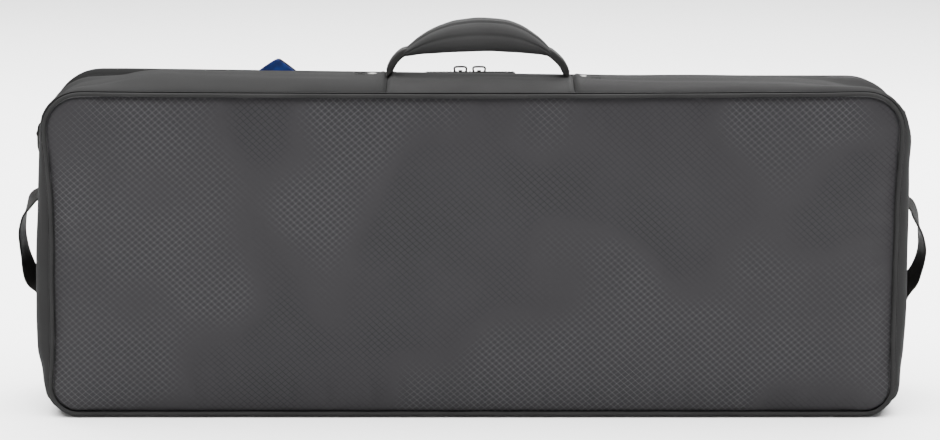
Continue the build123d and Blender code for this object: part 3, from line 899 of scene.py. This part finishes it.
def panel_cover(name, face, direction, body, nodes, seed, handed=1):
    """The padded front of a panel: ripstop over foam, pulled down at its seam."""
    rows, rim = panel_grid(6 * MM, PANEL_EDGE)
    depth_of = curve_mm([(0, 4.0), (1, 1.9), (2, 1.1), (3, 0.7), (4.5, 0.4), (7, 0.15), (13, 0)])
    for row, steps in zip(rows, rim):
        for point, step in zip(row, steps):
            point.y = face + direction * (0.9 * MM + depth_of(step * MM))
    piece = grid(name, rows, RIPSTOP)
    face_out(piece, (Vector((0, face, 0.17)), Vector((0, -direction, 0))))
    rim = [step for steps in rim for step in steps]
    puff(piece, [i for i, step in enumerate(rim) if step == 0], 2.2, 0.006, 4.2 * MM)
    for v in piece.data.vertices:
        x, z = v.co.x * handed, v.co.z
        edge = smooth(0.20, 0.40, abs(x))
        slant = Vector((x + z * 0.5, seed, z * 0.45 - x * 0.35))
        crease = noise.noise(slant / 0.035)
        broad = noise.noise(Vector((x, seed + 9, z)) / 0.11)
        push = 0.8 * MM * broad * (0.5 + edge) + 1.4 * MM * crease * edge
        fall = 2.2 * MM * smooth(PANEL_HALF - 34 * MM, PANEL_HALF - 4 * MM, abs(x)) ** 2
        v.co.y -= direction * (push - fall) * smooth(0, 5, rim[v.index])
        v.co = soften(v.co)
    subdivide(piece)
    thicken(piece, 1.2 * MM)
    fit(piece, "ripstop", body, *nodes)


panel_cover("near_panel_cover", NEAR_FACE, 1, "shell", ["near_panel", "near_foam"], 2.0)
panel_cover("far_panel_cover", FAR_FACE, -1, "lid", ["far_panel", "far_foam"], 6.0, -1)


# ---- zip ----

def zip_tape(name, start, end, spans, body, node):
    """One side's tape, its two long edges tucked a little lower."""
    stations = columns(spans, 8 * MM)
    rows = []
    for y in spread(start, end, 4):
        inset = (1.2 if y in (start, end) else 0.9) * MM
        rows.append([ring_point(s, t, y, inset=inset)[0] for s, t in stations])
    piece = grid(name, rows, TAPE)
    face_out(piece, (Vector((0, (start + end) / 2, ZIP_TOP)), UP))
    thicken(piece, 0.8 * MM)
    fit(piece, "zip_tape", body, node)


def coil_row(name, y, spans, body, node, shift):
    """One row of the zip's coil: a tooth for each turn of the coil."""
    pairs = [ring_point(s, t, y, inset=0.7 * MM) for s, t in columns(spans, 4 * MM)]
    line = [point for point, _ in pairs]
    pitch = 1.7 * MM
    spots = resample(line, pitch)
    places = []
    k = 0
    for p, q in zip(spots, spots[1:]):
        while k < len(line) - 2 and (line[k + 1] - p).length < (line[k] - p).length:
            k += 1
        along = (q - p).normalized()
        places.append((p + along * shift * pitch, along, pairs[k][1]))
    fit(scatter(name, places, (0.52 * MM, 0.84 * MM, 0.95 * MM), COIL), "zip_coil", body, node)


foot_share = FOOT_SPLIT + 0.05
tape_run = [("foot_right", foot_share, 1.0)] + body_run[1:-1] + [("foot_left", 0.0, 1 - foot_share)]
coil_front = (COIL_BODY[0].y + COIL_BODY[1].y) / 2 + 0.3 * MM
coil_rear = (COIL_LID[0].y + COIL_LID[1].y) / 2 - 0.3 * MM
zip_tape("zip_tape_front", BODY_EDGE - 1.5 * MM, COIL_BODY[0].y + 0.6 * MM, tape_run, "shell",
         "zip_tape_body")
zip_tape("zip_tape_rear", COIL_LID[1].y - 0.6 * MM, LID_EDGE + 1.5 * MM, tape_run, "lid", "zip_tape_lid")
coil_row("zip_teeth_front", coil_front, tape_run, "shell", "zip_coil_body", 0.0)
coil_row("zip_teeth_rear", coil_rear, tape_run, "lid", "zip_coil_lid", 0.5)
for node in ("zip_end_stops", "zip_slider_left", "zip_slider_right", "d_ring_left", "d_ring_right"):
    dress(node, DARK_METAL)


def pull_ring(side):
    """A wire loop on the slider, leaning back, a little narrower at its hinge end."""
    low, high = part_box(f"pull_ring_{side}")
    wire = 1.05 * MM
    half = (high.x - low.x) / 2 - wire + 0.8 * MM
    start = Vector(((low.x + high.x) / 2, low.y + wire, low.z + wire))
    reach = Vector((0, high.y - low.y - 2 * wire, high.z - low.z - 2 * wire))
    path = []
    for k in range(48):
        c, s = math.cos(2 * math.pi * k / 48), math.sin(2 * math.pi * k / 48)
        across = math.copysign(abs(c) ** 0.45, c)
        up = math.copysign(abs(s) ** 0.65, s)
        path.append(start + Vector((half * across * (0.92 + 0.08 * up), 0, 0)) + reach * ((1 + up) / 2))
    piece = tube(f"pull_loop_{side}", resample(path, 0.9 * MM, True), wire, DARK_METAL)
    fit(piece, "dark_metal", f"{side}_pull", f"pull_ring_{side}")


pull_ring("left")
pull_ring("right")
dress("handle_rivet_washers", STEEL)


# ---- carry handle ----

strap_low, strap_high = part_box("handle_strap")
grip_low, grip_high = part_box("handle_grip_cover")
HANDLE_Y = (grip_low.y + grip_high.y) / 2
HANDLE_X = (grip_low.x + grip_high.x) / 2
GRIP_HALF = (grip_high.x - grip_low.x) / 2
GRIP_TOP = grip_high.z
LEFT_ROOT = strap_low.x + 4 * MM
RIGHT_ROOT = strap_high.x - 4 * MM

# The grip's top and foot from GRIP_TOP and its width, in metres, at shares of its half length.
grip_crown = curve_through([
    (-1.0, -0.0345), (-0.93, -0.0311), (-0.778, -0.0211), (-0.627, -0.0130), (-0.475, -0.0073),
    (-0.273, -0.0025), (0.03, 0.0), (0.333, -0.0018), (0.534, -0.0069), (0.737, -0.0170),
    (0.889, -0.0281), (0.939, -0.0332), (1.0, -0.0360),
])
grip_foot = curve_through([
    (-1.0, -0.0385), (-0.94, -0.0388), (-0.7, -0.0368), (-0.3, -0.0350), (0.1, -0.0340), (0.5, -0.0352),
    (0.8, -0.0375), (0.94, -0.0392), (1.0, -0.0392),
])
grip_width = curve_through([(-1.0, 0.0215), (-0.85, 0.0280), (-0.4, 0.0345), (0.0, 0.0358),
                            (0.4, 0.0345), (0.85, 0.0280), (1.0, 0.0215)])


def grip_cover():
    """The padded grip: a rolled edge along the top and a sewn seam along each flank."""
    sides = 96
    stations = 90
    rows = [[] for _ in range(sides)]
    seams = {1: [], -1: []}
    for i in range(stations + 1):
        share = 0.96 * math.sin(math.pi / 2 * (-1 + 2 * i / stations))
        x = HANDLE_X + share * GRIP_HALF
        top = GRIP_TOP + grip_crown(share)
        foot = GRIP_TOP + grip_foot(share)
        half_high = (top - foot) / 2
        half_wide = grip_width(share) / 2
        detail = min(1.0, half_high / (9 * MM))
        for k in range(sides):
            angle = 2 * math.pi * k / sides
            c, s = math.cos(angle), math.sin(angle)
            y = math.copysign(abs(c) ** 0.84, c) * half_wide
            z = math.copysign(abs(s) ** 0.90, s) * half_high
            degrees = math.degrees(math.atan2(s, abs(c)))
            seam = math.exp(-((degrees - 3) / 4.2) ** 2)
            swell = math.exp(-((degrees - 26) / 16) ** 2)
            groove = math.exp(-((degrees - 52) / 4.0) ** 2)
            roll = math.exp(-((degrees - 61) / 5.5) ** 2)
            out = 0.9 * swell - 1.25 * seam - 0.9 * groove + 0.85 * roll
            point = Vector((x, HANDLE_Y + y, (top + foot) / 2 + z))
            out += 0.30 * ripple(point, 51.0, 0.02)
            point += Vector((0, c, s)) * (out * detail * MM)
            rows[k].append(point)
        for flank in (1, -1):
            seams[flank].append(Vector((x, HANDLE_Y + flank * half_wide * 0.975,
                                        (top + foot) / 2 + half_high * (0.05 + 0.16 * detail))))
    piece = grid("grip_padding_cover", rows, GRIP, close_v=True, caps=True)
    fit(piece, "grip_cover", "carry_handle", "handle_grip_cover", "handle_grip_foam")
    places = []
    for flank, path in seams.items():
        places += stitch_line(path, [Vector((0, flank, 0.1))] * len(path), 2.6 * MM)
    stitching("grip_stitching", places, "carry_handle")


grip_cover()


def gusset_height(x, y):
    """Height of the top gusset cloth at a place."""
    return soften(Vector((x, y, PANEL_TOP + top_offset(y)))).z


def handle_webbing():
    """One strap from tail to tail: from inside the seam up a leg, through the grip and down again."""
    def leg(root, sign):
        floor = gusset_height(root, HANDLE_Y)
        steps = ((34, -4.6), (20, -4.4), (8, -4.0), (1.5, -1.0), (-1.5, 6), (-6, 14), (-13, 21))
        points = [(root + sign * dx * MM, HANDLE_Y, floor + dz * MM) for dx, dz in steps]
        return points + [(root - sign * 22 * MM, HANDLE_Y, GRIP_TOP - 32 * MM)]

    over = []
    for share in (-0.6, -0.3, 0.03, 0.35, 0.62):
        over.append((HANDLE_X + share * GRIP_HALF, HANDLE_Y, GRIP_TOP + grip_crown(share) - 11 * MM))
    path = smooth_path(leg(LEFT_ROOT, -1) + over + leg(RIGHT_ROOT, 1)[::-1], 2.5 * MM)
    thickness = []
    width = []
    for p in path:
        away = abs(p.x - HANDLE_X)
        rise = p.z - gusset_height(p.x, HANDLE_Y)
        on_leg = smooth(-1 * MM, 6 * MM, rise) * smooth(60 * MM, 74 * MM, away)
        thickness.append((2.2 + 5.3 * on_leg) * MM)
        width.append((15 + 9 * smooth(GRIP_HALF - 22 * MM, GRIP_HALF - 4 * MM, away)) * MM)
    piece = strap("carry_handle_webbing", path, ALONG_Y, width, thickness, LEG_WEBBING)
    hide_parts("handle_strap", "handle_roots")
    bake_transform(piece)


handle_webbing()


def rivets():
    """Domed caps with a rolled rim, on the webbing tails."""
    low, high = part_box("handle_rivet_caps")
    radius = (high.y - low.y) / 2
    profile = [(0.0, 1.35), (0.35, 1.28), (0.62, 1.05), (0.80, 0.72), (0.90, 0.62), (1.0, 0.42), (1.0, 0.0)]
    turns = [2 * math.pi * k / 28 for k in range(28)]
    for side, x, nodes in (
        ("left", low.x + radius, ["handle_rivet_caps"]),
        ("right", high.x - radius, []),
    ):
        base = gusset_height(x, HANDLE_Y) - 0.1 * MM
        rows = []
        for share, height in profile:
            r, z = radius * share, base + height * MM
            rows.append([Vector((x + r * math.cos(a), HANDLE_Y + r * math.sin(a), z)) for a in turns])
        fit(grid(f"rivet_cap_{side}", rows, STEEL, close_u=True), "steel", "shell", *nodes)


rivets()


def box_stitch(place, us, vs, normal):
    """Stitches round a rectangle and along its diagonals; place turns (u, v) into a point."""
    (u0, u1), (v0, v1) = us, vs
    a, b, c, d = [place(u, v) for u, v in ((u0, v0), (u1, v0), (u1, v1), (u0, v1))]
    places = []
    for p, q in ((a, b), (b, c), (c, d), (d, a), (a, c), (b, d)):
        places += stitch_line([p, q], [normal, normal], 2.8 * MM)
    return places


def side_patch(sign, y, lift):
    """Gives a function that places (across, height) a little above a side gusset's cloth."""
    return lambda across, z: Vector((sign * (skin_x(z, y, sign) + lift), y + across * MM, z))


def tail_stitches(root, sign):
    """A sewn box that holds one of the strap's tails under the gusset."""
    def place(dx, dy):
        x, y = root + sign * dx * MM, HANDLE_Y + dy * MM
        return Vector((x, y, gusset_height(x, y) + 0.3 * MM))

    return box_stitch(place, (24, 34), (-9, 9), UP)


stitching("handle_tail_stitching", tail_stitches(LEFT_ROOT, -1) + tail_stitches(RIGHT_ROOT, 1), "shell")


# ---- side handles ----

SIDE_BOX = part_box("side_handle_right")
SIDE_Y = (SIDE_BOX[0].y + SIDE_BOX[1].y) / 2
SIDE_OUT = SIDE_BOX[1].x
SIDE_MIDDLE = (SIDE_BOX[0].z + SIDE_BOX[1].z) / 2


def side_handle(side, sign, shape):
    """Twisted webbing loop; shape is (height above the middle, distance in from the apex, twist).

    Its tails stay on the gusset up to the distance rooted beyond the side's even form."""
    def on_skin(z, lift):
        return skin_x(z, SIDE_Y, sign) + lift * MM, z

    upper = SIDE_MIDDLE + shape[0][0] * MM
    lower = SIDE_MIDDLE + shape[-1][0] * MM
    tail = [(28, 1.3), (17, 1.3), (7, 1.9)]
    line = [on_skin(upper + d * MM, lift) for d, lift in tail]
    line += [(SIDE_OUT - inward * MM, SIDE_MIDDLE + height * MM) for height, inward, _ in shape]
    line += [on_skin(lower - d * MM, lift) for d, lift in reversed(tail)]
    turns = [(SIDE_MIDDLE + height * MM, angle) for height, _, angle in reversed(shape)]
    twist = curve_through([(lower - 14 * MM, 0)] + turns + [(upper + 14 * MM, 0)])
    path = smooth_path([(sign * x, SIDE_Y, z) for x, z in line], 2.5 * MM)
    across = []
    for i, p in enumerate(path):
        tangent = (path[min(i + 1, len(path) - 1)] - path[max(i - 1, 0)]).normalized()
        out = tangent.cross(ALONG_Y)
        out *= math.copysign(1, out.x * sign)
        angle = math.radians(twist(p.z))
        across.append(ALONG_Y * math.cos(angle) + out * math.sin(angle))
    piece = strap(f"side_handle_webbing_{side}", path, across, 25 * MM, 2.0 * MM, WEBBING)
    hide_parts(f"side_handle_{side}", f"side_handle_roots_{side}")
    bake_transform(piece)
    place = side_patch(sign, SIDE_Y, 2.4 * MM)
    places = []
    for heights in ((upper + 14 * MM, upper + 26 * MM), (lower - 26 * MM, lower - 14 * MM)):
        places += box_stitch(place, (-9, 9), heights, Vector((sign, 0, 0)))
    stitching(f"side_handle_stitching_{side}", places, "shell")


side_handle("left", -1, [
    (46, 10.5, 22), (37, 5.5, 13), (28, 1.2, 0), (12, -1.6, -6), (-2, -0.6, -8), (-12, 1.0, -11),
    (-26, 4.0, -22), (-36, 7.0, -28), (-42, 9.0, -20),
])
side_handle("right", 1, [
    (38, 11.5, 20), (30, 8.0, 20), (22, 5.2, 14), (11, 1.8, 0), (-5, -0.6, -8), (-16, 0.6, -11),
    (-28, 4.2, -16), (-40, 9.8, -26), (-48, 14.5, -20),
])


# ---- shoulder-strap ring tabs ----

def ring_tab(side, sign):
    """A webbing tab folded round the ring's bar, its two layers sewn to the gusset."""
    low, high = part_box(f"ring_tab_{side}")
    ring_low, ring_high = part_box(f"d_ring_{side}")
    wire = (ring_high.x - ring_low.x) / 2
    bar_z = ring_high.z - wire
    bar_x = abs(ring_low.x + ring_high.x) / 2
    y = (low.y + high.y) / 2
    upper = bar_z + 23 * MM
    reach = wire + 0.9 * MM
    line = [(skin_x(z, y, sign) + 2.1 * MM, z) for z in (upper, upper - 8 * MM, upper - 17 * MM)]
    line += [(max(skin_x(bar_z + 10 * MM, y, sign) + 2.0 * MM, bar_x - 1.0 * MM), bar_z + 10 * MM)]
    for angle in (50, 20, -10, -45, -80, -115, -150):
        turn = math.radians(angle)
        line.append((bar_x + reach * math.cos(turn), bar_z + reach * math.sin(turn)))
    line += [(skin_x(z, y, sign) + 0.5 * MM, z) for z in (bar_z + 7 * MM, bar_z + 16 * MM, upper - 6 * MM)]
    path = smooth_path([(sign * x, y, z) for x, z in line], 1.0 * MM)
    piece = strap(f"ring_tab_webbing_{side}", path, ALONG_Y, high.y - low.y, 1.3 * MM, WEBBING)
    fit(piece, "webbing", "shell", f"ring_tab_{side}")
    heights = (upper - 14 * MM, upper - 3 * MM)
    places = box_stitch(side_patch(sign, y, 2.9 * MM), (-7, 7), heights, Vector((sign, 0, 0)))
    stitching(f"ring_tab_stitching_{side}", places, "shell")


ring_tab("left", -1)
ring_tab("right", 1)


# ---- zip garage strip and ribbon tag ----

def garage_strip():
    """A stiffened cloth strip on the lid behind the parked sliders, with a turned edge."""
    low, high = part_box("zip_garage_strip")
    rows = []
    for share, rise in (
        (0.0, -2.6), (0.02, 0.1), (0.10, 0.9), (0.5, 1.0), (0.9, 0.7), (0.98, 0.1), (1.0, -2.6),
    ):
        y = low.y + (high.y - low.y) * share
        row = []
        for x in spread(low.x, high.x, 40):
            end = 1 - math.exp(-min(x - low.x, high.x - x) / (0.9 * MM))
            top = ZIP_TOP + 1.7 * MM + 0.35 * MM * ripple(Vector((x, y, 0)), 61.0, 0.03)
            row.append(Vector((x, y, top + min(rise, -2.6 + (rise + 2.6) * end) * MM)))
        rows.append(row)
    piece = grid("zip_garage_cloth", rows, GARAGE)
    face_out(piece, (Vector(((low.x + high.x) / 2, (low.y + high.y) / 2, high.z)), UP))
    thicken(piece, 1.4 * MM)
    fit(piece, "webbing", "lid", "zip_garage_strip")
    x0, x1, y0, y1 = low.x + 3 * MM, high.x - 3 * MM, low.y + 2.5 * MM, high.y - 2.5 * MM
    corners = [Vector((x, y, ZIP_TOP + 2.8 * MM)) for x, y in ((x0, y0), (x1, y0), (x1, y1), (x0, y1))]
    places = []
    for p, q in zip(corners, corners[1:] + corners[:1]):
        places += stitch_line([p, q], [UP, UP])
    stitching("zip_garage_stitching", places, "lid")


garage_strip()


def ribbon_tag():
    """A ribbon folded over into a pointed loop and caught in the far seam."""
    low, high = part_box("tag_loop")
    y = (low.y + high.y) / 2
    apex_x = (low.x + high.x) / 2 + 1 * MM
    foot = low.z - 2 * MM
    for name, layer_y, shift, rise, material, nodes in (
        ("blue_ribbon_front", y - 1.0 * MM, 0.0, 0.0, BLUE, ["tag_loop"]),
        # The back layer takes the ribbon's colour with painted shade.
        ("blue_ribbon_back", y + 1.3 * MM, 1.8 * MM, 0.5 * MM, BLUE_SHADED, []),
    ):
        rows = []
        for t in spread(0, 1, 12):
            inward = t ** 1.25
            x0 = low.x + 2 * MM + (apex_x - low.x - 3 * MM) * inward
            x1 = high.x - 1 * MM + (apex_x - high.x + 3 * MM) * inward
            z = foot + (high.z + 1.7 * MM + rise - foot) * t
            row = []
            for s in spread(0, 1, 20):
                x = x0 + (x1 - x0) * s
                curl = 1.5 * MM * math.sin(math.pi * s) * (1 - t)
                bump = 0.5 * MM * ripple(Vector((x, t * 0.02, 0)), 66.0, 0.012)
                row.append(Vector((x + shift, layer_y - curl + bump, z)))
            rows.append(row)
        piece = grid(name, rows, material)
        thicken(piece, 0.7 * MM, 0.0)
        fit(piece, "blue_ribbon", "lid", *nodes)


ribbon_tag()


# ---- inside of the bag ----

def wall_lining(name, edge, panel_y, spans, body, node, closed, seed):
    """Plush lining of the gusset wall, wrapped over the foam's edge beside the zip."""
    step = MM if panel_y > edge else -MM
    turned = [(-0.6, 2.4 * MM), (0, 3.6 * MM), (0.2, 8 * MM), (0.4, 11.5 * MM)]
    profile = [(edge + step * depth, inset) for depth, inset in turned]
    profile += [(y, WALL) for y in spread(edge + step * 1.6, panel_y, 8)]
    stations = columns(spans, 9 * MM)
    stations = stations[:-1] if closed else stations
    rows = []
    for k, (y, inset) in enumerate(profile):
        row = []
        for s, t in stations:
            point, normal = ring_point(s, t, y, inset=inset)
            outer = ring_point(s, t, y)[0]
            point += soften(outer) - outer
            sag = 0.9 * MM * ripple(point, seed, 0.04) if 5 < k < len(profile) - 1 else 0.0
            row.append(point + normal * min(sag, 0.3 * MM))
        rows.append(row)
    piece = grid(name, rows, PLUSH, close_u=closed)
    point, normal = ring_point(*stations[len(stations) // 2], (edge + panel_y) / 2, inset=WALL)
    face_out(piece, (point, -normal))
    thicken(piece, 1.0 * MM)
    fit(piece, "lining", body, node)


wall_lining("body_wall_lining", FOAM_EDGE, LINING_Y, ALL_SPANS, "shell", "body_lining", True, 71.0)
wall_lining("lid_wall_lining", LID_FOAM_EDGE, FAR_LINING_Y, lid_spans, "lid", "lid_lining", False, 75.0)


def panel_lining(name, y, direction, body, node, seed):
    """The quilted plush inside of a panel, with sewn lines that divide it in eight fields."""
    rows, rim = panel_grid(9 * MM, 9 * MM)
    for row, steps in zip(rows, rim):
        for point, step in zip(row, steps):
            share_x = (point.x / (2 * PANEL_HALF) + 0.5) * 4
            share_z = (point.z - PANEL_FOOT) / (PANEL_TOP - PANEL_FOOT) * 2
            swell = abs(math.sin(math.pi * share_x)) ** 0.35 * abs(math.sin(math.pi * share_z)) ** 0.35
            puffed = 2.2 * MM * swell + 0.5 * MM * ripple(point, seed, 0.05)
            point.y = y + direction * (puffed if step else 0.0)
    piece = grid(name, rows, PLUSH)
    face_out(piece, (Vector((0.1, y, 0.1)), Vector((0, direction, 0))))
    subdivide(piece)
    thicken(piece, 1.0 * MM)
    fit(piece, "lining", body, node)


panel_lining("near_panel_lining", LINING_Y - 1 * MM, 1, "shell", "near_lining", 81.0)
panel_lining("far_panel_lining", FAR_LINING_Y + 1 * MM, -1, "lid", "far_lining", 85.0)


def hold_down(side):
    """A strap sewn across the compartment's back, with a hook pad for its free end."""
    low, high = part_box(f"hold_down_strap_{side}")
    pad_low, pad_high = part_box(f"hold_down_pad_{side}")
    x = (low.x + high.x) / 2
    along_x = Vector((1, 0, 0))
    line = []
    for share in spread(0, 1, 30):
        z = low.z + (high.z - low.z) * share
        lift = 2.4 + 1.6 * math.sin(math.pi * share) + 0.5 * ripple(Vector((x, 0, z)), 9, 0.04)
        line.append(Vector((x, low.y + lift * MM, z)))
    piece = strap(f"hold_down_webbing_{side}", line, along_x, high.x - low.x, 1.8 * MM, WEBBING)
    fit(piece, "webbing", "shell", f"hold_down_strap_{side}")
    line = [p + Vector((0, 1.9 * MM, 0)) for p in line if pad_low.z <= p.z <= pad_high.z]
    width = pad_high.x - pad_low.x - 3 * MM
    pad = strap(f"hold_down_hooks_{side}", line, along_x, width, 1.6 * MM, HOOKS)
    fit(pad, "hook_pad", "shell", f"hold_down_pad_{side}")


hold_down("left")
hold_down("right")


def hinge_fold():
    """The cloth fold at the bottom rear edge that the lid turns on."""
    low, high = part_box("hinge_strip")
    profile = [(low.y - 4 * MM, 2.6), (low.y + 4 * MM, 2.5), (high.y - 2 * MM, 2.7)]
    profile += [(high.y + d * MM, z) for d, z in ((1.2, 3.6), (2.4, 6.5), (2.2, 11), (1.4, 17))]
    rows = [[Vector((x, y, z * MM)) for x in spread(low.x, high.x, 60)] for y, z in profile]
    piece = grid("hinge_fold_cloth", rows, TAPE)
    thicken(piece, 0.9 * MM, 0.0)
    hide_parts("hinge_strip")
    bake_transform(piece)


hinge_fold()


# ---- floor, light and camera ----

def floor(half):
    """A plain pale floor."""
    mesh = bpy.data.meshes.new("studio_floor")
    corners = [(-half, -half, 0), (half, -half, 0), (half, half, 0), (-half, half, 0)]
    mesh.from_pydata(corners, [], [(0, 1, 2, 3)])
    material = Nodes("studio_floor").done((0.93, 0.93, 0.93, 1), 0.9, shine=0.1)
    link("studio_floor", mesh, material)


def area_light(name, place, target, size, power):
    light = bpy.data.lights.new(name, "AREA")
    light.shape = "RECTANGLE"
    light.size, light.size_y = size
    light.energy = power
    lamp = bpy.data.objects.new(name, light)
    bpy.context.scene.collection.objects.link(lamp)
    lamp.location = place
    lamp.rotation_mode = "QUATERNION"
    lamp.rotation_quaternion = (Vector(target) - Vector(place)).to_track_quat("-Z", "Y")


def studio_world(strength, side_share):
    """Even white surroundings, dimmer to the left and right as between dark side screens."""
    world = bpy.data.worlds.new("studio_world")
    bpy.context.scene.world = world
    n = Nodes("studio_world", world)
    sideways = n.math("ABSOLUTE", n.split(n.coordinates["Generated"])[0])
    background = n.tree.nodes["Background"]
    n.put(background.inputs["Color"], (1, 1, 1, 1))
    n.put(background.inputs["Strength"], n.ramp(sideways, 0.35, 0.9, strength, strength * side_share))


def camera(place, tilt, lens):
    """A camera that looks along Y from the near side, tilted down."""
    data = bpy.data.cameras.new("camera")
    data.sensor_width = 36
    data.lens = lens
    data.clip_start = 0.05
    data.clip_end = 200
    piece = bpy.data.objects.new("camera", data)
    bpy.context.scene.collection.objects.link(piece)
    piece.location = place
    piece.rotation_euler = (math.pi / 2 - math.radians(tilt), 0, 0)
    bpy.context.scene.camera = piece


floor(60.0)
area_light("top_softbox", (0.0, 0.3, 3.4), (0, 0, 0), (6.5, 6.0), 1250)
area_light("left_softbox", (-2.0, -2.8, 1.5), (0, 0, 0.2), (1.4, 1.6), 9)
area_light("back_softbox", (0.9, 1.9, 1.5), (0, 0, 0.3), (1.6, 0.8), 36)
studio_world(0.95, 0.35)
camera((-0.003, -2.625, 0.6765), 10.5, 99.57)
